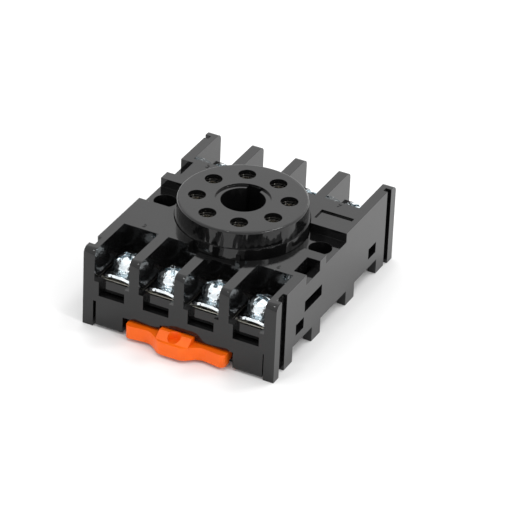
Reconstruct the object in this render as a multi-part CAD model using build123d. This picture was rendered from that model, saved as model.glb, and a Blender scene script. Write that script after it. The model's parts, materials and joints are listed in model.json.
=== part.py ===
"""Eight-pin plug-in relay socket with screw terminals, for a 35 mm rail or two panel screws.

Origin: middle of the body, on the plane that its feet stand on. +X runs along the terminal rows,
-Y is the end with the rail clip, +Z is the way the relay leaves. All sizes are in millimetres.
"""
from build123d import *
import os
from math import atan2, cos, degrees, hypot, radians, sin

# Body
BODY_LENGTH = 50.2            # along Y, over the four corner posts
DECK_Z = 16.6                 # top of the deck and of the barriers
DECK_T = 2.0                  # thickness of the deck
WALL_T = 1.7                  # side walls
END_WALL_T = 1.6              # walls below the terminals
SIDE_BOTTOM_Z = 3.2           # lower edge of the side walls, which a rail's flange meets
END_BOTTOM_Z = 0.6            # lower edge of the end walls
RAIL_GAP = 35.4               # between the two legs, for a 35 mm rail
RAIL_Y = 0.8                  # middle of that gap, towards the back
LEG_LENGTH = 3.4              # each leg, along Y
POST_LENGTH = 2.1             # each corner post, along Y
POST_PROUD = 0.3              # how far a post stands out beyond the side wall
GROOVE_DEPTH = 0.9            # upright groove between a leg and its post
FOOT_Y = 5.35                 # near edge of each foot, from the middle
FOOT_LENGTH = 3.65
TOP_ROUND = 1.3               # rounding of the barriers' outer top corners

# Terminal rows
PITCH = 9.4
BARRIER_T = 2.08
SLOT_DEPTH = 11.25            # along Y, from the open end to the rear wall
REAR_WALL_T = 1.2
MOUTH_RISE = 0.2              # bottom of a slot's open end, above its terminal plate
BLOCK_BOTTOM_Z = 7.0          # underside of the terminal rows
WINDOW_WIDTH = 5.4            # narrower window under each slot's open end
SILL_RECESS = 1.4             # the sill stands this far behind the end face
SILL_T = 0.6
SILL_SLOT = 1.2               # gap behind the sill, down to the base plate
SILL_HEIGHT = 2.4             # down from the top of the terminal plate

# Terminals, clamps and screws
PLATE_T = 0.8
PLATE_TOP_Z = 9.8
STRAP_WIDTH = 3.2
EYE_R = 2.7                   # round end of the strap, under its contact
NUT_WALL = 0.7                # wall of the threaded collar under the plate
NUT_LENGTH = 2.2
SCREW_INSET = 6.45            # screw axis, from the open end of the slot
SHANK_R = 1.75
SHANK_LENGTH = 5.0
HEAD_R = 3.0
HEAD_HEIGHT = 2.7
DRIVE_WIDTH = 0.9
DRIVE_LENGTH = 3.8
DRIVE_DEPTH = 1.5
CLAMP_T = 0.9
CLAMP_REAR = 3.0              # from the screw axis to the clamp's inner edge
CLAMP_LIP = 0.8               # height and thickness of the turned-up outer lip
CLAMP_GAP = 0.35              # between the clamp and the slot's sides
RUNNING_GAP = 0.05            # round the shanks
FIT_GAP = 0.1                 # between pieces that drop into each other

# Relay side
PIN_CIRCLE = 17.45            # diameter of the pin circle
PIN_COUNT = 8
FIRST_PIN_ANGLE = 112.5       # pin 1, beside the keyway
PIN_HOLE_R = 1.7
PIN_HOLE_DEPTH = 2.0
WELL_R = 1.95                 # room for a contact, below a pin hole
CONTACT_BORE_R = 1.2
CONTACT_T = 0.25
CONTACT_GAP = 0.2             # between a contact's top and the end of its well
CONTACT_FLANGE_T = 0.5        # riveted flange under the strap's eye
CONTACT_FLANGE_R = 2.2
DISC_RIM = 2.075              # from the pin holes to the disc's edge
DISC_RISE = 3.9               # disc's top above the deck
COLLAR_STEP = 0.3             # the disc's lower part is this much larger in radius
COLLAR_RISE = 0.4             # and reaches this far above the deck
DISC_GAP = 0.15               # between the disc and the deck
KEY_R = 4.3
KEY_WALL_T = 1.3
KEYWAY_WIDTH = 2.9
KEYWAY_REACH = 0.9            # out from the key hole's edge
KEY_RECESS_WIDTH = 1.05       # step round the top of the key hole
KEY_RECESS_DEPTH = 0.4
BLOCK_LIFT = 0.3              # between the straps and the contact block

# Recesses in the deck
SADDLE_HALF = 4.3             # half the width of the recess round each panel screw
SADDLE_DEPTH = 1.9
SADDLE_FLOOR_T = 1.4
SCREW_SPACING = 33.0          # between the two panel screw holes
SCREW_HOLE_R = 2.25
COLUMN_R = 3.1
COLUMN_SLANT = 2.25            # how far the slanted cut below the side wall runs in from its face
MOAT_WIDTH = 3.1              # crescent recess round the disc
MOAT_START = -107.0           # degrees, at the terminal slots
MOAT_END = -10.0              # degrees, in the saddle
moat_rIB_ANGLE = -66.0
moat_rIB_T = 0.8
moat_rIB_DROP = 0.7
NOTCH_NEAR = 6.8              # notch for a hold-down spring, from the middle
NOTCH_FAR = 12.4
NOTCH_WIDTH = 2.7
NOTCH_DROP = 2.15
NOTCH_SCREEN_T = 1.0          # inner wall that keeps the spring away from the straps
SIDE_WINDOW_NEAR = 5.5        # long window that the hold-down spring hooks into
SIDE_WINDOW_FAR = 12.5
SIDE_WINDOW_Z = (8.5, 10.8)
LABEL_SIZE = (6.8, 3.3)
LABEL_PLACE = (15.3, 8.1)
LABEL_DEPTH = 0.35

# Base plate and its latches
BASE_T = 1.6
LATCH_Y = ((-15.9, -12.7), (14.7, 17.9))
LATCH_Z = (5.2, 7.5)
LATCH_T = 1.0
NOSE_OUT = 0.9
PEDESTAL_R = 2.6
SLIT_TOP_Z = 5.65
SLIT_WIDTHS = (0.6, 0.2)      # left and right slit beside the posts, at both ends
POST_WIDTH = 2.2

# Rail clip
CLIP_SIDE_GAP = 1.15          # between the clip and the ends of its slot
CLIP_SLOT_TOP_Z = 3.9
FINGER_NOTCH_HALF = 3.7
FINGER_NOTCH_TOP_Z = 4.8
CLIP_HALF = 10.45
CLIP_BOTTOM_Z = 0.7
CLIP_TOP_Z = 3.4
CLIP_STEP_Z = 1.4             # underside of the clip's guide flanges
GUIDE_WIDTH = 1.6             # ledges that carry the flanges
CLIP_REACH = 3.1              # the middle of the grip, out of the end face
CLIP_BULGE_HALF = 2.5         # half the width of that middle
CLIP_BULGE_R = 2.4
CLIP_WAIST = 0.8              # the grip's waist, out of the end face
CLIP_WAIST_X = 5.2            # the waist, from the middle
CLIP_WAIST_R = 3.0
CLIP_EAR = 1.45               # the grip's ends, out of the end face
CLIP_CORNER = 0.9             # rounding of those ends
RAMP_GAP = 0.3                # between the clip's finger ramp and its notch
RAMP_FLAT = 0.7               # the ramp's level part, out of the end face
RAMP_TOE = 0.7                # from the ramp's foot to the tip of the grip
DIMPLE_R = 1.3
DIMPLE_OUT = 1.15             # the dimple's middle, out of the end face
DIMPLE_DEPTH = 0.35           # below the top of the grip
HOOK_REACH = 1.7              # how far each hook reaches under the rail
HOOK_T = 1.4
HOOK_HALF = 6.5
SPRING_T = 0.6
SPRING_HEIGHT = 1.6
SPRING_X = (5.4, 9.2)
PEG_T = 0.7

# Worked out from the above
half_length = BODY_LENGTH / 2
half_width = 2 * PITCH + BARRIER_T / 2
slot_width = PITCH - BARRIER_T
rail_front = RAIL_GAP / 2 - RAIL_Y
rail_back = RAIL_GAP / 2 + RAIL_Y
slot_rear = half_length - SLOT_DEPTH
row_inner = slot_rear - REAR_WALL_T
inner_x = half_width - WALL_T
inner_y = half_length - END_WALL_T
deck_under = DECK_Z - DECK_T
plate_bottom = PLATE_TOP_Z - PLATE_T
block_bottom = PLATE_TOP_Z + BLOCK_LIFT
screw_y = half_length - SCREW_INSET
sill_y = half_length - SILL_RECESS
saddle_z = DECK_Z - SADDLE_DEPTH
saddle_under = saddle_z - SADDLE_FLOOR_T
mouth_z = PLATE_TOP_Z + MOUTH_RISE
nut_r = SHANK_R + RUNNING_GAP + NUT_WALL
contact_foot = plate_bottom - CONTACT_FLANGE_T
pin_circle_r = PIN_CIRCLE / 2
disc_r = pin_circle_r + PIN_HOLE_R + DISC_RIM
disc_top = DECK_Z + DISC_RISE
collar_top = DECK_Z + COLLAR_RISE
collar_r = disc_r + COLLAR_STEP
moat_r = collar_r + MOAT_WIDTH
keyway_r = KEY_R + KEYWAY_REACH
deck_hole_r = collar_r + DISC_GAP
base_top = SIDE_BOTTOM_Z + BASE_T
clamp_top = PLATE_TOP_Z + CLAMP_T
shank_bottom = clamp_top - SHANK_LENGTH
post_inner = half_width + POST_PROUD - POST_WIDTH
groove_far = half_length - POST_LENGTH
window_front = sill_y - SILL_T
clip_slot_half = CLIP_HALF + CLIP_SIDE_GAP
peg_y = inner_y - FIT_GAP - 0.4
window_rear = rail_front + SPRING_T + FIT_GAP


def block(x, y, z):
    """Box between two corners, given as (low, high) along each axis."""
    size = [high - low for low, high in (x, y, z)]
    middle = [(high + low) / 2 for low, high in (x, y, z)]
    return Pos(*middle) * Box(*size)


def disc(x, y, z, radius):
    """Upright cylinder between two heights."""
    return Pos(x, y, (z[0] + z[1]) / 2) * Cylinder(radius, z[1] - z[0])


def turned(shape):
    """The same shape, half a turn round the body's middle."""
    return Rot(0, 0, 180) * shape


def pair(shape):
    """The shape and its copy half a turn round."""
    return shape + turned(shape)


def mirrored(shape):
    """The shape and its mirror image across the YZ plane."""
    return shape + shape.mirror(Plane.YZ)


def four(shape):
    """The shape in each quarter of the body."""
    return pair(mirrored(shape))


def sector(radius, start, end, z):
    """Upright wedge of a cylinder between two angles in degrees."""
    low, high = z
    corners = [(0, 0)] + [(2 * radius * cos(radians(a)), 2 * radius * sin(radians(a)))
                          for a in (start, (2 * start + end) / 3, (start + 2 * end) / 3, end)]
    wedge = Pos(0, 0, low) * extrude(make_face(Polyline(*corners, close=True)), high - low)
    return wedge & disc(0, 0, z, radius)


def pin_place(number):
    """Centre of one pin hole, numbered as the relay's pins are."""
    angle = radians(FIRST_PIN_ANGLE + 360 / PIN_COUNT * (number - 1))
    return pin_circle_r * cos(angle), pin_circle_r * sin(angle)


def slot_place(number):
    """Middle of one terminal slot across X, and which end it opens at."""
    x, y = pin_place(number)
    column = 1.5 if abs(x) > abs(y) else 0.5
    return (column * PITCH if x > 0 else -column * PITCH), (1 if y > 0 else -1)


def span(side, near, far):
    """Interval along Y at one end of the body, in rising order."""
    return (near, far) if side > 0 else (-far, -near)


def both_ends(x, far, z, extra=0):
    """Boxes from the rail's two edges, each moved out by extra, to the same distance at both ends."""
    return block(x, span(1, rail_back + extra, far), z) + block(x, span(-1, rail_front + extra, far), z)


def shell():
    """Outer block with its end walls, legs, feet and posts, before anything is cut."""
    body = block((-half_width, half_width), (-half_length, half_length), (SIDE_BOTTOM_Z, DECK_Z))
    ends = both_ends((-half_width, half_width), half_length, (END_BOTTOM_Z, SIDE_BOTTOM_Z))
    legs = both_ends((inner_x, half_width), half_length, (0, SIDE_BOTTOM_Z))
    foot = block((inner_x, half_width), (FOOT_Y, FOOT_Y + FOOT_LENGTH), (0, SIDE_BOTTOM_Z))
    post = block((post_inner, half_width + POST_PROUD), (groove_far, half_length), (0, DECK_Z))
    return body + ends + mirrored(legs) + four(foot) + four(post)


def hollow():
    """Room for the contact block in the middle and for the base plate below."""
    middle = block((-inner_x, inner_x), (-row_inner, row_inner), (-1, deck_under))
    lower = block((-inner_x, inner_x), (-inner_y, inner_y), (-1, BLOCK_BOTTOM_Z))
    return middle + lower


def slot_cut(number):
    """One terminal slot: open end, seat for the plate, window and way through for the strap."""
    x, side = slot_place(number)
    wide = (x - slot_width / 2, x + slot_width / 2)
    narrow = (x - WINDOW_WIDTH / 2, x + WINDOW_WIDTH / 2)
    mouth = block(wide, span(side, slot_rear, half_length + 1), (mouth_z, DECK_Z + 1))
    seat = block(wide, span(side, slot_rear, window_front + FIT_GAP), (plate_bottom, mouth_z))
    window = block(narrow, span(side, window_front - SILL_SLOT, half_length + 1), (BLOCK_BOTTOM_Z, mouth_z))
    collar = disc(x, side * screw_y, (BLOCK_BOTTOM_Z - 1, plate_bottom), nut_r + FIT_GAP)
    way = block(wide, span(side, row_inner - 1, slot_rear + 0.5),
                (BLOCK_BOTTOM_Z - 1, block_bottom - FIT_GAP))
    return mouth + seat + window + collar + way


def sill(number):
    """Recessed cross-piece in a slot's window, level with the terminal plate."""
    x, side = slot_place(number)
    wide = (x - WINDOW_WIDTH / 2, x + WINDOW_WIDTH / 2)
    return block(wide, span(side, window_front + FIT_GAP, sill_y), (PLATE_TOP_Z - SILL_HEIGHT, PLATE_TOP_Z))


def saddle():
    """Recess that takes a panel screw's head, with the floor under it."""
    start = deck_hole_r - WALL_T
    cut = block((start, half_width + 1), (-SADDLE_HALF, SADDLE_HALF), (saddle_z, DECK_Z + 1))
    floor = block((start, inner_x), (-SADDLE_HALF - WALL_T, SADDLE_HALF + WALL_T), (saddle_under, saddle_z))
    return cut, floor


def moat():
    """Crescent recess beside the disc, with its floor and its cross rib."""
    cut = sector(moat_r, MOAT_START, MOAT_END, (saddle_z, DECK_Z + 1))
    floor = sector(moat_r + 1, MOAT_START - 4, MOAT_END, (saddle_under, saddle_z))
    floor &= block((-inner_x, inner_x), (-slot_rear, slot_rear), (saddle_under, saddle_z))
    rib = block((0, moat_r), (-moat_rIB_T / 2, moat_rIB_T / 2), (saddle_z, DECK_Z - moat_rIB_DROP))
    return cut, floor, Rot(0, 0, moat_rIB_ANGLE) * rib


def spring_notch():
    """Notch in the deck's edge and the window below it, for a relay's hold-down spring."""
    notch = block((half_width - NOTCH_WIDTH, half_width + 1), (-NOTCH_FAR, -NOTCH_NEAR),
                  (DECK_Z - NOTCH_DROP, DECK_Z + 1))
    pocket = block((half_width - NOTCH_WIDTH, inner_x), (-NOTCH_FAR, -NOTCH_NEAR),
                   (BLOCK_BOTTOM_Z, DECK_Z))
    window = block((inner_x - 1, half_width + 1), (-SIDE_WINDOW_FAR, -SIDE_WINDOW_NEAR), SIDE_WINDOW_Z)
    screen_x = half_width - NOTCH_WIDTH
    screen = block((screen_x - NOTCH_SCREEN_T, screen_x), (-row_inner, -SIDE_WINDOW_NEAR),
                   (BLOCK_BOTTOM_Z, deck_under))
    return notch + pocket + window, screen


def end_cuts():
    """Slits beside the posts, and the clip's slot with its finger notch in the front wall."""
    cuts = []
    for side in (1, -1):
        through = span(side, inner_y - 0.5, half_length + 1)
        for direction, width in zip((-1, 1), SLIT_WIDTHS):
            middle = direction * post_inner * side * -1
            edges = sorted((middle, middle - (1 if middle > 0 else -1) * width))
            cuts.append(block(edges, through, (-1, SLIT_TOP_Z)))
    front = span(-1, inner_y - 0.5, half_length + 1)
    cuts.append(block((-clip_slot_half, clip_slot_half), front, (-1, CLIP_SLOT_TOP_Z)))
    cuts.append(block((-FINGER_NOTCH_HALF, FINGER_NOTCH_HALF), front, (-1, FINGER_NOTCH_TOP_Z)))
    return cuts


def label_cut():
    """Blank label recess in the deck."""
    (x, y), (width, length) = LABEL_PLACE, LABEL_SIZE
    return block((x - width / 2, x + width / 2), (y - length / 2, y + length / 2),
                 (DECK_Z - LABEL_DEPTH, DECK_Z + 1))


def column_slant():
    """Wedge that keeps a column's foot inside the line from the panel to the side wall's edge."""
    corners = Polyline((half_width - COLUMN_SLANT, 0), (half_width, SIDE_BOTTOM_Z),
                       (half_width + 1, SIDE_BOTTOM_Z), (half_width + 1, -1),
                       (half_width - COLUMN_SLANT, -1), close=True)
    return extrude(Plane.XZ * make_face(corners), 2 * COLUMN_R, both=True)


def housing():
    """Upper moulding: side walls, deck, barriers, saddles and corner posts."""
    body = shell() - hollow()
    saddle_cut, saddle_floor = saddle()
    moat_cut, moat_floor, moat_rib = moat()
    column = disc(SCREW_SPACING / 2, 0, (0, saddle_under), COLUMN_R) - column_slant()
    body += pair(saddle_floor + moat_floor + column)
    body -= pair(saddle_cut + moat_cut)
    body += pair(moat_rib & moat_cut)
    body -= disc(0, 0, (row_inner / 2, DECK_Z + 1), deck_hole_r)
    for number in range(1, PIN_COUNT + 1):
        body -= slot_cut(number)
        body += sill(number)
    notch_cut, notch_screen = spring_notch()
    body += pair(notch_screen)
    body -= pair(notch_cut)
    body -= pair(disc(SCREW_SPACING / 2, 0, (-1, DECK_Z), SCREW_HOLE_R))
    body -= mirrored(both_ends((half_width - GROOVE_DEPTH, half_width + 1), groove_far,
                               (-1, DECK_Z + 1), LEG_LENGTH))
    for place in LATCH_Y:
        body -= mirrored(block((inner_x - 1, half_width + 1), place, LATCH_Z))
    for cut in end_cuts():
        body -= cut
    body -= label_cut()
    top_corners = [edge for edge in body.edges().filter_by(Axis.X)
                   if abs(abs(edge.center().Y) - half_length) < 0.01
                   and abs(edge.center().Z - DECK_Z) < 0.01]
    return fillet(top_corners, TOP_ROUND)


def contact_block():
    """Inner moulding that carries the disc, the key hole and the wells for the contacts."""
    body = disc(0, 0, (collar_top, disc_top), disc_r)
    body = fillet(body.edges().group_by(Axis.Z)[-1], KEY_RECESS_DEPTH)
    body += disc(0, 0, (block_bottom, collar_top), collar_r)
    flange = disc(0, 0, (block_bottom, saddle_under), deck_hole_r + COLLAR_STEP)
    body += flange & block((-inner_x, inner_x), (FIT_GAP - row_inner, row_inner - FIT_GAP),
                           (block_bottom, saddle_under))
    body += disc(0, 0, (base_top, block_bottom), KEY_R + KEY_WALL_T)
    for number in range(1, PIN_COUNT + 1):
        x, y = pin_place(number)
        body -= disc(x, y, (block_bottom, disc_top - PIN_HOLE_DEPTH), WELL_R)
        body -= disc(x, y, (block_bottom, disc_top + 1), PIN_HOLE_R)
    body -= disc(0, 0, (base_top - 1, disc_top + 1), KEY_R)
    body -= block((-KEYWAY_WIDTH / 2, KEYWAY_WIDTH / 2), (0, keyway_r), (base_top - 1, disc_top + 1))
    return body - disc(0, 0, (disc_top - KEY_RECESS_DEPTH, disc_top + 1), KEY_R + KEY_RECESS_WIDTH)


def contact(number):
    """Split spring sleeve that grips one relay pin, riveted through its terminal's eye."""
    x, y = pin_place(number)
    top = disc_top - PIN_HOLE_DEPTH - CONTACT_GAP
    outer = CONTACT_BORE_R + CONTACT_T
    body = disc(x, y, (contact_foot, top), outer)
    body += disc(x, y, (contact_foot, plate_bottom), CONTACT_FLANGE_R)
    body -= disc(x, y, (contact_foot - 1, top + 1), CONTACT_BORE_R)
    slit = block((-outer - 1, outer + 1), (-CONTACT_T / 2, CONTACT_T / 2),
                 ((top + block_bottom) / 2, top + 1))
    for angle in (0, 90):
        body -= Pos(x, y, 0) * (Rot(0, 0, angle) * slit)
    return body


def terminal(number):
    """Plated terminal: screw plate with its collar, and a strap to the contact's eye."""
    x, side = slot_place(number)
    pin_x, pin_y = pin_place(number)
    level = (plate_bottom, PLATE_TOP_Z)
    half = slot_width / 2 - FIT_GAP
    start = side * (slot_rear + FIT_GAP)
    body = block((x - half, x + half), span(side, slot_rear + FIT_GAP, window_front), level)
    reach = hypot(pin_x - x, pin_y - start)
    strap = block((-1, reach), (-STRAP_WIDTH / 2, STRAP_WIDTH / 2), level)
    body += Pos(x, start, 0) * (Rot(0, 0, degrees(atan2(pin_y - start, pin_x - x))) * strap)
    body += disc(pin_x, pin_y, level, EYE_R)
    body += disc(x, side * screw_y, (plate_bottom - NUT_LENGTH, plate_bottom), nut_r)
    body -= disc(x, side * screw_y, (0, DECK_Z), SHANK_R + RUNNING_GAP)
    return body - disc(pin_x, pin_y, (0, DECK_Z), CONTACT_BORE_R + CONTACT_T)


def clamp(number):
    """Captive square washer with a turned-up lip, which presses the wire on the plate."""
    x, side = slot_place(number)
    half = slot_width / 2 - CLAMP_GAP
    body = block((x - half, x + half), span(side, screw_y - CLAMP_REAR, window_front),
                 (PLATE_TOP_Z, clamp_top))
    body += block((x - half, x + half), span(side, window_front - CLAMP_LIP, window_front),
                  (clamp_top, clamp_top + CLAMP_LIP))
    return body - disc(x, side * screw_y, (0, DECK_Z), SHANK_R + RUNNING_GAP)


def screw(number):
    """Terminal screw with a domed head, a cross slot and a plain shank."""
    x, side = slot_place(number)
    head = disc(0, 0, (clamp_top, clamp_top + HEAD_HEIGHT), HEAD_R)
    head = fillet(head.edges().group_by(Axis.Z)[-1], HEAD_HEIGHT / 2)
    body = head + disc(0, 0, (shank_bottom, clamp_top), SHANK_R)
    drive = block((-DRIVE_LENGTH / 2, DRIVE_LENGTH / 2), (-DRIVE_WIDTH / 2, DRIVE_WIDTH / 2),
                  (clamp_top + HEAD_HEIGHT - DRIVE_DEPTH, DECK_Z))
    body -= drive + Rot(0, 0, 90) * drive
    return Pos(x, side * screw_y, 0) * body


def rail_hooks():
    """Two fixed hooks at the back, which reach under one edge of the rail."""
    return mirrored(block((HOOK_HALF - 2, CLIP_HALF), (rail_back - HOOK_REACH, rail_back + 1),
                          (END_BOTTOM_Z, END_BOTTOM_Z + HOOK_T)))


def clip_channel():
    """Room for the rail clip at the front, above its two guide ledges."""
    half = CLIP_HALF + FIT_GAP
    front = span(-1, rail_front - 1, half_length)
    upper = block((-half, half), front, (CLIP_STEP_Z - FIT_GAP, CLIP_SLOT_TOP_Z))
    lower = block((GUIDE_WIDTH - half, half - GUIDE_WIDTH), front, (-1, CLIP_STEP_Z))
    return upper + lower


def base_plate():
    """Lower moulding: floor, end blocks, contact pedestals, rail hooks and side latches."""
    edge_x = inner_x - FIT_GAP
    edge_y = inner_y - FIT_GAP
    end_x = post_inner - SLIT_WIDTHS[0] - FIT_GAP
    body = block((-edge_x, edge_x), (-edge_y, edge_y), (SIDE_BOTTOM_Z, base_top))
    body += both_ends((-end_x, end_x), edge_y, (END_BOTTOM_Z, SIDE_BOTTOM_Z))
    pocket = block((FIT_GAP, end_x - WALL_T), (rail_back + WALL_T, edge_y - WALL_T), (-1, SIDE_BOTTOM_Z))
    body -= mirrored(Pos(WALL_T / 2, 0, 0) * pocket)
    body += rail_hooks()
    body -= clip_channel()
    peg = block(SPRING_X, span(-1, peg_y - PEG_T, peg_y), (CLIP_STEP_Z, CLIP_SLOT_TOP_Z))
    body += mirrored(peg)
    for low, high in LATCH_Y:
        place = (low + FIT_GAP, high - FIT_GAP)
        arm = block((edge_x - LATCH_T, edge_x), place, (base_top, BLOCK_BOTTOM_Z - FIT_GAP))
        nose = block((edge_x, edge_x + NOSE_OUT), place, (LATCH_Z[0] + FIT_GAP, BLOCK_BOTTOM_Z - FIT_GAP))
        body += mirrored(arm + nose)
    for number in range(1, PIN_COUNT + 1):
        x, y = pin_place(number)
        body += disc(x, y, (base_top, contact_foot), PEDESTAL_R)
        body -= disc(x, y, (base_top, contact_foot), CONTACT_BORE_R + CONTACT_T)
    body -= pair(disc(SCREW_SPACING / 2, 0, (0, base_top + 1), COLUMN_R + FIT_GAP))
    return body - disc(0, 0, (0, base_top + 1), KEY_R)


def grip_outline():
    """Plan of the clip's grip: a wave that bulges in the middle and at both ends."""
    front = -half_length
    half = [(CLIP_BULGE_HALF, front - CLIP_REACH), (CLIP_WAIST_X, front - CLIP_WAIST),
            (CLIP_HALF, front - CLIP_EAR), (CLIP_HALF, front + 1)]
    wave = FilletPolyline(*[(-x, y) for x, y in reversed(half)], *half, radius=[
        CLIP_CORNER, CLIP_WAIST_R, CLIP_BULGE_R, CLIP_BULGE_R, CLIP_WAIST_R, CLIP_CORNER])
    return make_face([wave, Line(wave @ 1, wave @ 0)])


def finger_ramp():
    """Ramp on top of the grip, which a finger or a screwdriver pulls on."""
    top = FINGER_NOTCH_TOP_Z - RAMP_GAP
    outline = Polyline((-inner_y - FIT_GAP, CLIP_TOP_Z - 0.5), (-inner_y - FIT_GAP, top),
                       (-half_length - RAMP_FLAT, top),
                       (RAMP_TOE - half_length - CLIP_REACH, CLIP_TOP_Z),
                       (RAMP_TOE - half_length - CLIP_REACH, CLIP_TOP_Z - 0.5), close=True)
    return extrude(Plane.YZ * make_face(outline), FINGER_NOTCH_HALF - RAMP_GAP, both=True)


def din_clip():
    """Rail clip: grip, guide flanges, two spring windows and the hook under the rail."""
    body = Pos(0, 0, CLIP_BOTTOM_Z) * extrude(grip_outline(), CLIP_TOP_Z - CLIP_BOTTOM_Z)
    inside = span(-1, rail_front + FIT_GAP, half_length - 0.9)
    body += block((-CLIP_HALF, CLIP_HALF), inside, (CLIP_STEP_Z, CLIP_TOP_Z))
    keel = CLIP_HALF - GUIDE_WIDTH
    body += block((-keel, keel), inside, (END_BOTTOM_Z, CLIP_STEP_Z))
    body += block((-HOOK_HALF, HOOK_HALF), span(-1, rail_front - HOOK_REACH, rail_front + 1),
                  (END_BOTTOM_Z, END_BOTTOM_Z + HOOK_T))
    window = block((SPRING_X[0] - FIT_GAP, SPRING_X[1] + FIT_GAP),
                   span(-1, window_rear, peg_y + FIT_GAP), (-1, CLIP_TOP_Z + 1))
    body -= mirrored(window)
    dimple = disc(0, -half_length - DIMPLE_OUT, (CLIP_TOP_Z - DIMPLE_DEPTH, DECK_Z), DIMPLE_R)
    return body + finger_ramp() - dimple


def clip_spring(side):
    """Zigzag spring arm in one window of the clip, from the clip to the base plate's peg."""
    near, far = SPRING_X[0] + SPRING_T / 2, SPRING_X[1] - SPRING_T / 2
    start, end = -window_rear, -(peg_y - PEG_T - RUNNING_GAP)
    step = (end - start) / 4
    path = FilletPolyline((far, start + SPRING_T), (far, start + step / 2), (near, start + step * 1.35),
                          (far, start + step * 2.2), (near, start + step * 3.1), (near, end - SPRING_T),
                          radius=SPRING_T * 0.55)
    arm = extrude(trace(path, SPRING_T), SPRING_HEIGHT)
    z = (CLIP_STEP_Z + CLIP_TOP_Z - SPRING_HEIGHT) / 2
    arm = Pos(0, 0, z) * arm & block((0, CLIP_HALF), (end, start), (0, DECK_Z))
    return arm if side > 0 else arm.mirror(Plane.YZ)


def save(shape, name):
    """Write one node."""
    export_step(shape, f"parts/{name}.step")


def main():
    os.makedirs("parts", exist_ok=True)
    save(housing(), "housing")
    save(contact_block(), "contact_block")
    save(base_plate(), "base_plate")
    save(din_clip(), "din_clip")
    save(clip_spring(-1), "clip_spring_left")
    save(clip_spring(1), "clip_spring_right")
    for number in range(1, PIN_COUNT + 1):
        save(terminal(number), f"terminal_{number}")
        save(contact(number), f"contact_{number}")
        save(clamp(number), f"clamp_{number}")
        save(screw(number), f"screw_{number}")


main()
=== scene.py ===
"""Looks of the eight-pin relay socket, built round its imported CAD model. All lengths are in metres."""
import json
import math

import bpy
from mathutils import Matrix, Vector


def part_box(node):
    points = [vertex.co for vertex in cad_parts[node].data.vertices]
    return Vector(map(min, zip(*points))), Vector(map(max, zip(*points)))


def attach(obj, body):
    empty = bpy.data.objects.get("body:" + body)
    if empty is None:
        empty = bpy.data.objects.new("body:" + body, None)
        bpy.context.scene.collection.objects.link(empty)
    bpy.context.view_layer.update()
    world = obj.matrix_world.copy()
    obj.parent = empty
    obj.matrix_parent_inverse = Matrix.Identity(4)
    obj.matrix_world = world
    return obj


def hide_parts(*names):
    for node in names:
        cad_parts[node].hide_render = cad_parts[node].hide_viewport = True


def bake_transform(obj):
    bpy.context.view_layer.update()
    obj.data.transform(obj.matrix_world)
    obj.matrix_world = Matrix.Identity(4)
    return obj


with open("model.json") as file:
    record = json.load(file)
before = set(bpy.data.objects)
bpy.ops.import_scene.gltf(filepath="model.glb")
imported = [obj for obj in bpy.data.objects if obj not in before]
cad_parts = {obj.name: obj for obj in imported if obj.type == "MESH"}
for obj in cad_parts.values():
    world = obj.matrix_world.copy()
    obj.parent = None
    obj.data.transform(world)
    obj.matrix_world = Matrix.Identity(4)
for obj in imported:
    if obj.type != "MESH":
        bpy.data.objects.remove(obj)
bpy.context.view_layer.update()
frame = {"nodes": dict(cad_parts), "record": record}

NODES = frame["nodes"]
MM = 0.001


# ---------------------------------------------------------------- materials
class Shader:
    """A material's node tree, with short calls for the nodes that these finishes use."""

    def __init__(self, name):
        self.material = bpy.data.materials.new(name)
        self.material.use_nodes = True
        self.tree = self.material.node_tree
        self.bsdf = self.tree.nodes["Principled BSDF"]
        self.place = self.node("ShaderNodeTexCoord").outputs["Object"]

    def node(self, kind, **settings):
        made = self.tree.nodes.new(kind)
        for key, value in settings.items():
            setattr(made, key, value)
        return made

    def link(self, out, into):
        self.tree.links.new(out, into)

    def noise(self, scale, detail=3.0, roughness=0.55, stretch=(1, 1, 1)):
        """Noise over the object's own coordinates, in features per metre."""
        mapping = self.node("ShaderNodeMapping")
        mapping.inputs["Scale"].default_value = stretch
        self.link(self.place, mapping.inputs["Vector"])
        made = self.node("ShaderNodeTexNoise")
        made.inputs["Scale"].default_value = scale
        made.inputs["Detail"].default_value = detail
        made.inputs["Roughness"].default_value = roughness
        self.link(mapping.outputs["Vector"], made.inputs["Vector"])
        return made.outputs["Fac"]

    def ramp(self, fac, stops):
        """Colour ramp from (position, colour) stops; a number stands for a grey."""
        made = self.node("ShaderNodeValToRGB")
        elements = made.color_ramp.elements
        for i, (position, colour) in enumerate(stops):
            element = elements[i] if i < 2 else elements.new(position)
            element.position = position
            if isinstance(colour, (int, float)):
                colour = (colour, colour, colour)
            element.color = (*colour, 1)
        self.link(fac, made.inputs["Fac"])
        return made.outputs["Color"]

    def range(self, value, low, high):
        """A 0..1 value spread over low..high."""
        made = self.node("ShaderNodeMapRange")
        made.inputs["To Min"].default_value = low
        made.inputs["To Max"].default_value = high
        self.link(value, made.inputs["Value"])
        return made.outputs["Result"]

    def bump(self, height, distance, strength=1.0, below=None):
        made = self.node("ShaderNodeBump")
        made.inputs["Distance"].default_value = distance
        made.inputs["Strength"].default_value = strength
        self.link(height, made.inputs["Height"])
        if below is not None:
            self.link(below, made.inputs["Normal"])
        return made.outputs["Normal"]

    def finish(self, colour, roughness, normal=None):
        self.link(colour, self.bsdf.inputs["Base Color"])
        self.link(roughness, self.bsdf.inputs["Roughness"])
        if normal is not None:
            self.link(normal, self.bsdf.inputs["Normal"])
        return self.material


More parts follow.
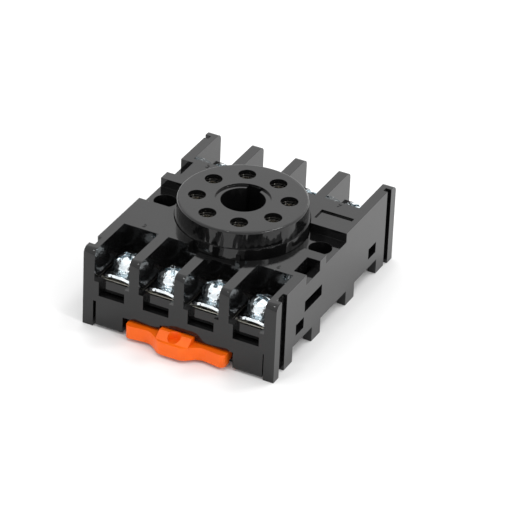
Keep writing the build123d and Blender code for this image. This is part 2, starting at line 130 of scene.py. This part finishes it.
def black_plastic():
    """Moulded black phenolic: glossy, with a faint orange peel and a slightly uneven sheen."""
    s = Shader("black_plastic")
    cloud = s.noise(140, 4)
    grain = s.noise(2600, 3)
    colour = s.ramp(cloud, [(0.3, (0.0030, 0.0030, 0.0031)), (0.7, (0.0062, 0.0062, 0.0064))])
    rough = s.range(s.noise(420, 5, 0.6), 0.05, 0.11)
    peel = s.bump(s.noise(360, 2), 0.04 * MM, 0.22)
    normal = s.bump(grain, 0.010 * MM, 0.25, peel)
    s.bsdf.inputs["IOR"].default_value = 1.49
    return s.finish(colour, rough, normal)


def orange_plastic():
    """Orange nylon: satin, a little translucent, with a fine spark-eroded texture."""
    s = Shader("orange_plastic")
    cloud = s.noise(170, 4)
    colour = s.ramp(cloud, [(0.3, (0.86, 0.118, 0.0015)), (0.7, (0.95, 0.148, 0.0028))])
    rough = s.range(s.noise(500, 4), 0.34, 0.46)
    normal = s.bump(s.noise(3200, 2), 0.02 * MM, 0.35, s.bump(s.noise(300, 2), 0.06 * MM, 0.2))
    s.bsdf.inputs["Subsurface Weight"].default_value = 0.08
    s.bsdf.inputs["Subsurface Radius"].default_value = (0.8 * MM, 0.2 * MM, 0.05 * MM)
    s.bsdf.inputs["IOR"].default_value = 1.38
    return s.finish(colour, rough, normal)


def zinc_steel():
    """Bright zinc on pressed steel: pale blue-grey and dimpled, with fine scratches and cloudy spots."""
    s = Shader("zinc_steel")
    cloud = s.noise(650, 5, 0.65)
    scratch = s.noise(900, 3, 0.6, (1, 9, 1))
    shades = [(0.28, (0.62, 0.70, 0.74)), (0.5, (0.82, 0.88, 0.91)), (0.75, (0.94, 0.96, 0.97))]
    colour = s.ramp(cloud, shades)
    rough = s.range(cloud, 0.05, 0.15)
    dimples = s.bump(s.noise(1300, 2, 0.5), 0.20 * MM, 0.85)
    normal = s.bump(scratch, 0.012 * MM, 0.3, dimples)
    s.bsdf.inputs["Metallic"].default_value = 1.0
    return s.finish(colour, rough, normal)


def plated_brass():
    """Nickel on brass strip, faintly warm, with rolling marks along it."""
    s = Shader("plated_brass")
    cloud = s.noise(500, 4, 0.6)
    rolled = s.noise(700, 3, 0.6, (8, 1, 1))
    colour = s.ramp(cloud, [(0.3, (0.62, 0.58, 0.50)), (0.7, (0.78, 0.75, 0.68))])
    rough = s.range(rolled, 0.20, 0.38)
    normal = s.bump(rolled, 0.02 * MM, 0.35)
    s.bsdf.inputs["Metallic"].default_value = 1.0
    return s.finish(colour, rough, normal)


def contact_metal():
    """Tinned phosphor bronze: a duller, warmer metal."""
    s = Shader("contact_metal")
    cloud = s.noise(900, 4, 0.6)
    colour = s.ramp(cloud, [(0.3, (0.70, 0.66, 0.58)), (0.7, (0.88, 0.86, 0.82))])
    rough = s.range(cloud, 0.10, 0.24)
    normal = s.bump(s.noise(1500, 2, 0.5, (1, 1, 5)), 0.015 * MM, 0.4)
    s.bsdf.inputs["Metallic"].default_value = 1.0
    return s.finish(colour, rough, normal)


def floor_paper():
    """Pale studio paper: matt white with the faintest mottling."""
    s = Shader("floor_paper")
    colour = s.ramp(s.noise(40, 3), [(0.2, 0.86), (0.8, 0.89)])
    rough = s.range(s.noise(200, 2), 0.85, 0.95)
    s.bsdf.inputs["Specular IOR Level"].default_value = 0.1
    return s.finish(colour, rough)


FINISHES = {
    "black_plastic": black_plastic(),
    "orange_plastic": orange_plastic(),
    "zinc_steel": zinc_steel(),
    "plated_brass": plated_brass(),
    "contact_metal": contact_metal(),
}
SLOTS = {part["node"]: part["material_slot"] for part in frame["record"]["subparts"]}


# ---------------------------------------------------------------- CAD nodes
WELD_GAP = 0.002 * MM          # facet corners nearer than this are one corner
HARD_EDGE = 35.0               # degrees; a sharper turn than this is an edge
SMALL_EDGE = 0.08 * MM
EDGE_WIDTHS = {
    "housing": 0.16 * MM,
    "contact_block": 0.16 * MM,
    "base_plate": 0.12 * MM,
    "din_clip": 0.42 * MM,
    "contact": 0.05 * MM,
    "clamp": 0.12 * MM,
    "screw": 0.1 * MM,
}


def soften(piece, width):
    """Join the facets of a carried-over node and round its hard edges by a small width."""
    weld = piece.modifiers.new("weld", "WELD")
    weld.merge_threshold = WELD_GAP
    flat = piece.modifiers.new("flat", "DECIMATE")
    flat.decimate_type = "DISSOLVE"
    flat.angle_limit = math.radians(1.0)
    bevel = piece.modifiers.new("bevel", "BEVEL")
    bevel.width = width
    bevel.segments = 2
    bevel.limit_method = "ANGLE"
    bevel.angle_limit = math.radians(HARD_EDGE)
    bevel.use_clamp_overlap = True
    bevel.harden_normals = True


def dress(node, width):
    """Give a carried-over CAD node its finish and softened edges."""
    piece = NODES[node]
    piece.data.materials.clear()
    piece.data.materials.append(FINISHES[SLOTS[node]])
    for face in piece.data.polygons:
        face.material_index = 0
    soften(piece, width)


for name in NODES:
    family = name.rstrip("_12345678")
    dress(name, EDGE_WIDTHS.get(family, SMALL_EDGE))


# ---------------------------------------------------------------- pieces that stand for CAD nodes
HEAD_R = 3.0 * MM
HEAD_HEIGHT = 2.7 * MM
SHANK_R = 1.75 * MM
THREAD_PITCH = 0.6 * MM
THREAD_DEPTH = 0.16 * MM
RECESS_REACH = 1.9 * MM        # cross recess: length of an arm from the middle, half its width, depth
RECESS_HALF = 0.5 * MM
RECESS_DEPTH = 1.7 * MM
SLOT_REACH = 4 * MM            # longer than the head, so that the slot runs right across it
SLOT_HALF = 0.36 * MM
SLOT_DEPTH = 0.75 * MM
CLAMP_SPAN = 1.5 * MM          # width of the strip along a clamp's outer edge that turns up
SLEEVE_OUTER = 1.45 * MM
SLEEVE_INNER = 1.2 * MM
FLANGE_R = 2.2 * MM
FLANGE_HEIGHT = 0.5 * MM
MOUTH_RISE = 0.9 * MM          # how far a contact's flared mouth reaches up into its pin hole
NUMERAL_HEIGHT = 1.5 * MM
NUMERAL_Y = 12.6 * MM          # how far the numerals stand from the middle
OUTER_SLOT_X = 10 * MM         # the terminals beyond this are the four outer ones
COUNT = 8


def add_piece(name, vertices, faces, slot, sharp=HARD_EDGE):
    """Mesh object with its finish, smooth but for its sharp edges."""
    mesh = bpy.data.meshes.new(name)
    mesh.from_pydata(vertices, [], faces)
    mesh.validate()
    mesh.polygons.foreach_set("use_smooth", [True] * len(mesh.polygons))
    mesh.set_sharp_from_angle(angle=math.radians(sharp))
    mesh.materials.append(FINISHES[slot])
    made = bpy.data.objects.new(name, mesh)
    bpy.context.scene.collection.objects.link(made)
    return made


def rings(rows, steps):
    """Closed surface through rings; a row gives (radius, height), or a function of the angle for them."""
    vertices, faces = [], []
    for row in rows:
        for i in range(steps):
            angle = 2 * math.pi * i / steps
            radius, height = row(angle) if callable(row) else row
            vertices.append((radius * math.cos(angle), radius * math.sin(angle), height))
    for j in range(len(rows) - 1):
        for i in range(steps):
            a, b = j * steps + i, j * steps + (i + 1) % steps
            faces.append((a, b, b + steps, a + steps))
    faces.append(tuple(range(steps))[::-1])
    faces.append(tuple(range((len(rows) - 1) * steps, len(rows) * steps)))
    return vertices, faces


def thread_row(height):
    """Ring of the thread: its radius rises and falls once in a turn, and moves on with the height."""
    def row(angle):
        phase = (height / THREAD_PITCH - angle / (2 * math.pi)) % 1.0
        return SHANK_R - THREAD_DEPTH * abs(2 * phase - 1), height
    return row


def cutter(outline, top, bottom, shrink):
    """Tapered prism from an outline, smaller at its bottom."""
    mesh = bpy.data.meshes.new("cutter")
    count = len(outline)
    vertices = [(x, y, top) for x, y in outline] + [(x * shrink, y * shrink, bottom) for x, y in outline]
    faces = [tuple(range(count)), tuple(range(count, 2 * count))[::-1]]
    faces += [(i, i + count, (i + 1) % count + count, (i + 1) % count) for i in range(count)]
    mesh.from_pydata(vertices, [], faces)
    made = bpy.data.objects.new("cutter", mesh)
    bpy.context.scene.collection.objects.link(made)
    return made


def cross_outline(reach, half):
    """Plus sign with arms of this reach and half width."""
    quarter = [(reach, -half), (reach, half), (half, half)]
    turns = [(1, 0, 0, 1), (0, -1, 1, 0), (-1, 0, 0, -1), (0, 1, -1, 0)]
    return [(a * x + b * y, c * x + d * y) for a, b, c, d in turns for x, y in quarter]


def screw_mesh(shank):
    """Pan-head terminal screw with a thread, a cross recess and a slot; zero height is under its head."""
    rows = [(0.55 * SHANK_R, -shank), (SHANK_R - THREAD_DEPTH, -shank + 0.35 * MM)]
    steps = int((shank - 0.6 * MM) / (THREAD_PITCH / 4))
    rows += [thread_row(-shank + 0.45 * MM + i * THREAD_PITCH / 4) for i in range(steps)]
    rows += [(SHANK_R, -0.08 * MM), (SHANK_R + 0.1 * MM, 0), (HEAD_R - 0.2 * MM, 0), (HEAD_R, 0.18 * MM)]
    rim = 0.8 * MM
    for i in range(9):
        angle = math.radians(10 * i)
        rows.append((HEAD_R * math.cos(angle), rim + (HEAD_HEIGHT - rim) * math.sin(angle)))
    rows.append((0.12 * HEAD_R, HEAD_HEIGHT))
    body = add_piece("screw_master", *rings(rows, 48), "zinc_steel")
    above = HEAD_HEIGHT + MM
    cross = cross_outline(RECESS_REACH, RECESS_HALF)
    slot = [(-SLOT_REACH, -SLOT_HALF), (SLOT_REACH, -SLOT_HALF),
            (SLOT_REACH, SLOT_HALF), (-SLOT_REACH, SLOT_HALF)]
    cuts = [cutter(cross, above, HEAD_HEIGHT - RECESS_DEPTH, 0.5),
            cutter(slot, above, HEAD_HEIGHT - SLOT_DEPTH, 0.9)]
    for cut in cuts:
        step = body.modifiers.new("cut", "BOOLEAN")
        step.operation = "DIFFERENCE"
        step.solver = "EXACT"
        step.object = cut
    round_off = body.modifiers.new("edge", "BEVEL")
    round_off.width = 0.07 * MM
    round_off.segments = 2
    round_off.limit_method = "ANGLE"
    round_off.angle_limit = math.radians(40)
    baked = bpy.data.meshes.new_from_object(body.evaluated_get(bpy.context.evaluated_depsgraph_get()))
    baked.name = "terminal_screw"
    for spare in cuts + [body]:
        bpy.data.objects.remove(spare)
    return baked


def terminal_screws():
    """Eight screws, each with its drive at its own angle."""
    low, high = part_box("screw_1")
    shank = high[2] - HEAD_HEIGHT - low[2]
    mesh = screw_mesh(shank)
    for k in range(1, COUNT + 1):
        low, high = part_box(f"screw_{k}")
        made = bpy.data.objects.new(f"terminal_screw_{k}", mesh.copy())
        bpy.context.scene.collection.objects.link(made)
        made.location = ((low[0] + high[0]) / 2, (low[1] + high[1]) / 2, high[2] - HEAD_HEIGHT)
        made.rotation_euler.z = math.radians(31 + 67 * k)
        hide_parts(f"screw_{k}")
        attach(made, f"screw_unit_{k}")


def clamp_mesh(half_x, near, far, thick, rise):
    """Wire clamp: a square washer whose sides bend down and whose outer edge turns up, round a hole."""
    hole, turns, spans = SHANK_R + 0.05 * MM, 72, 10
    top, bottom = [], []
    for j in range(spans + 1):
        for i in range(turns):
            angle = 2 * math.pi * i / turns
            c, s = math.cos(angle), math.sin(angle)
            reach = (abs(c) ** 9 + abs(s) ** 9) ** (-1 / 9)
            edge = Vector((c * reach * half_x, s * reach * (far + near) / 2 + (far - near) / 2))
            spot = Vector((c, s)) * hole
            spot = spot.lerp(edge, (j / spans) ** 0.8)
            side = min(1.0, abs(spot.x) / half_x)
            drop = 0.55 * thick * max(0.0, (side - 0.35) / 0.65) ** 1.6
            out = max(0.0, (spot.y - far + CLAMP_SPAN) / CLAMP_SPAN)
            lift = 0.6 * rise * out ** 2 * (1.0 - 0.5 * side ** 2)
            groove = 0.05 * MM * math.cos(spot.x / (0.55 * MM) * 2 * math.pi) * out
            top.append((spot.x, spot.y, thick - drop + lift + groove))
            bottom.append((spot.x, spot.y, max(0.0, 0.28 * thick - drop) + 0.85 * lift))
    return top + bottom, turns, spans


def clamp_faces(turns, spans):
    """Faces of both sides of a clamp, its outer edge and the wall of its hole."""
    faces = []
    under = turns * (spans + 1)
    for j in range(spans):
        for i in range(turns):
            a, b = j * turns + i, j * turns + (i + 1) % turns
            faces.append((a, a + turns, b + turns, b))
            faces.append((under + a, under + b, under + b + turns, under + a + turns))
    last = turns * spans
    for i in range(turns):
        n = (i + 1) % turns
        faces.append((last + i, under + last + i, under + last + n, last + n))
        faces.append((i, n, under + n, under + i))
    return faces


def wire_clamps():
    """Eight clamp washers under the screw heads."""
    for k in range(1, COUNT + 1):
        low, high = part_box(f"clamp_{k}")
        screw_low, screw_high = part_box(f"screw_{k}")
        centre_y = (screw_low[1] + screw_high[1]) / 2
        side = 1 if centre_y > 0 else -1
        far = high[1] - centre_y if side > 0 else centre_y - low[1]
        near = centre_y - low[1] if side > 0 else high[1] - centre_y
        thick = screw_high[2] - HEAD_HEIGHT - low[2]
        rise = high[2] - low[2] - thick
        vertices, turns, spans = clamp_mesh((high[0] - low[0]) / 2, near, far, thick, rise)
        made = add_piece(f"wire_clamp_{k}", vertices, clamp_faces(turns, spans), "zinc_steel", 50)
        soft = made.modifiers.new("edge", "BEVEL")
        soft.width = 0.08 * MM
        soft.segments = 2
        soft.limit_method = "ANGLE"
        soft.angle_limit = math.radians(50)
        made.location = ((low[0] + high[0]) / 2, centre_y, low[2])
        made.rotation_euler.z = 0 if side > 0 else math.pi
        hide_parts(f"clamp_{k}")
        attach(made, f"clamp_unit_{k}")


def pin_contacts():
    """Split sleeves that grip the relay's pins, with a flared mouth, from each contact's own foot."""
    for k in range(1, COUNT + 1):
        low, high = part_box(f"contact_{k}")
        length = high[2] - low[2] + MOUTH_RISE
        made = add_piece(f"pin_contact_{k}", *sleeve(length), "contact_metal", 40)
        made.location = ((low[0] + high[0]) / 2, (low[1] + high[1]) / 2, low[2])
        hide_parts(f"contact_{k}")
        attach(made, "socket")


def sleeve(length):
    """Sleeve on a flange, as a closed surface: four slits part its upper half into fingers with flared ends."""
    outer, inner = SLEEVE_OUTER, SLEEVE_INNER
    root, waist, throat = 0.45 * length, 0.72 * length, 0.90 * length
    flange = [(inner, 0), (FLANGE_R, 0), (FLANGE_R, FLANGE_HEIGHT), (outer, FLANGE_HEIGHT)]
    outside = [(outer, root), (outer * 0.93, waist), (outer * 0.95, throat), (outer * 1.02, length)]
    inside = [(inner * 1.04, length), (inner * 0.93, throat), (inner * 0.91, waist), (inner, root)]
    loop = flange + outside + inside
    slit_row, rows = len(flange), len(loop)
    steps, finger = 48, 12
    vertices, faces = [], []
    for radius, height in loop:
        for i in range(steps):
            angle = 2 * math.pi * i / steps
            vertices.append((radius * math.cos(angle), radius * math.sin(angle), height))
    for j in range(rows):
        n = (j + 1) % rows
        for i in range(steps):
            if slit_row <= j < rows - 1 and i % finger == 0:
                continue
            a, b = i, (i + 1) % steps
            faces.append((j * steps + a, j * steps + b, n * steps + b, n * steps + a))
    last = (rows - 1) * steps
    for i in range(0, steps, finger):
        b = (i + 1) % steps
        for a, flip in ((i, False), (b, True)):
            ring = [j * steps + a for j in range(slit_row, rows)]
            faces.append(tuple(ring) if flip else tuple(ring[::-1]))
        faces.append((slit_row * steps + i, slit_row * steps + b, last + b, last + i))
    return vertices, faces


def spring_arms():
    """The clip's two spring arms, between the clip and the base plate's pegs."""
    for side in ("left", "right"):
        node = f"clip_spring_{side}"
        made = bpy.data.objects.new(f"spring_arm_{side}", NODES[node].data.copy())
        bpy.context.scene.collection.objects.link(made)
        made.data.materials.clear()
        made.data.materials.append(FINISHES["orange_plastic"])
        made.data.polygons.foreach_set("material_index", [0] * len(made.data.polygons))
        weld = made.modifiers.new("weld", "WELD")
        weld.merge_threshold = WELD_GAP
        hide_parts(node)
        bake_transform(made)


def numerals():
    """Low terminal numbers on the deck, inward of the four outer slots."""
    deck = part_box("housing")[1][2]
    for k in range(1, COUNT + 1):
        low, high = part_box(f"screw_{k}")
        x, y = (low[0] + high[0]) / 2, (low[1] + high[1]) / 2
        if abs(x) < OUTER_SLOT_X:
            continue
        curve = bpy.data.curves.new(f"numeral_{k}", "FONT")
        curve.body = str(k)
        curve.size = NUMERAL_HEIGHT
        curve.extrude = 0.05 * MM
        curve.align_x = "CENTER"
        curve.align_y = "CENTER"
        made = bpy.data.objects.new(f"numeral_{k}", curve)
        bpy.context.scene.collection.objects.link(made)
        curve.materials.append(FINISHES["black_plastic"])
        made.location = (x, math.copysign(NUMERAL_Y, y), deck + 0.03 * MM)
        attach(made, "socket")


terminal_screws()
wire_clamps()
pin_contacts()
spring_arms()
numerals()


# ---------------------------------------------------------------- camera, light and floor
LIGHT_DISTANCE = 0.9


def look(azimuth, elevation):
    """Unit vector from the target back to a camera at this azimuth and elevation, in degrees."""
    a, e = math.radians(azimuth), math.radians(elevation)
    return Vector((math.sin(a) * math.cos(e), -math.cos(a) * math.cos(e), math.sin(e)))


def camera(azimuth, elevation, roll, distance, lens, aside, above, height):
    """Camera aimed at a point beside and above the body's axis, rolled clockwise by a little."""
    back = look(azimuth, elevation)
    right = back.cross(Vector((0, 0, -1))).normalized()
    up = back.cross(right)
    if up.z < 0:
        up, right = -up, right
    c, s = math.cos(math.radians(roll)), math.sin(math.radians(roll))
    across, upward = c * right + s * up, c * up - s * right
    place = Vector((0, 0, height)) + aside * across + above * upward + distance * back
    data = bpy.data.cameras.new("camera")
    data.lens = lens
    data.sensor_width = 36
    data.sensor_fit = "HORIZONTAL"
    data.clip_start, data.clip_end = 0.05, 20
    made = bpy.data.objects.new("camera", data)
    bpy.context.scene.collection.objects.link(made)
    turn = Matrix((across, upward, back)).transposed()
    made.matrix_world = Matrix.Translation(place) @ turn.to_4x4()
    bpy.context.scene.camera = made


def softbox(name, azimuth, elevation, distance, size, power):
    """Rectangular area light, aimed at the body."""
    data = bpy.data.lights.new(name, "AREA")
    data.shape = "RECTANGLE"
    data.size, data.size_y = size
    data.energy = power
    made = bpy.data.objects.new(name, data)
    bpy.context.scene.collection.objects.link(made)
    back = look(azimuth, elevation)
    made.location = Vector((0, 0, 0.01)) + distance * back
    made.rotation_euler = back.to_track_quat("Z", "Y").to_euler()


def sky():
    """Even white studio surround, a little brighter behind and above than in front."""
    world = bpy.data.worlds.new("studio")
    bpy.context.scene.world = world
    world.use_nodes = True
    tree = world.node_tree
    coordinates = tree.nodes.new("ShaderNodeTexCoord")
    split = tree.nodes.new("ShaderNodeSeparateXYZ")
    spread = tree.nodes.new("ShaderNodeMapRange")
    spread.inputs["From Min"].default_value = -1.0
    spread.inputs["From Max"].default_value = 1.0
    spread.inputs["To Min"].default_value = 0.92
    spread.inputs["To Max"].default_value = 1.42
    tree.links.new(coordinates.outputs["Generated"], split.inputs[0])
    tree.links.new(split.outputs["Y"], spread.inputs["Value"])
    tree.links.new(spread.outputs["Result"], tree.nodes["Background"].inputs["Strength"])
    tree.nodes["Background"].inputs["Color"].default_value = (1.0, 1.0, 1.0, 1)


def floor():
    """Wide pale floor under the body."""
    mesh = bpy.data.meshes.new("floor")
    half = 3.0
    corners = [(-half, -half, 0), (half, -half, 0), (half, half, 0), (-half, half, 0)]
    mesh.from_pydata(corners, [], [(0, 1, 2, 3)])
    made = bpy.data.objects.new("floor", mesh)
    mesh.materials.append(floor_paper())
    bpy.context.scene.collection.objects.link(made)
    made.location.z = -0.02 * MM          # just under the feet, so that no faces coincide


camera(azimuth=26.093, elevation=32.132, roll=2.506, distance=0.73287, lens=275.40,
       aside=2.2256 * MM, above=-1.3611 * MM, height=10 * MM)
sky()
softbox("key", 140, 62, LIGHT_DISTANCE, (0.16, 0.16), 1.1)
softbox("side", 78, 40, LIGHT_DISTANCE, (0.10, 0.30), 1.1)
softbox("glint", -20, 70, LIGHT_DISTANCE, (0.07, 0.07), 0.55)
floor()

bpy.context.scene.view_settings.view_transform = "Standard"
bpy.context.scene.view_settings.look = "None"
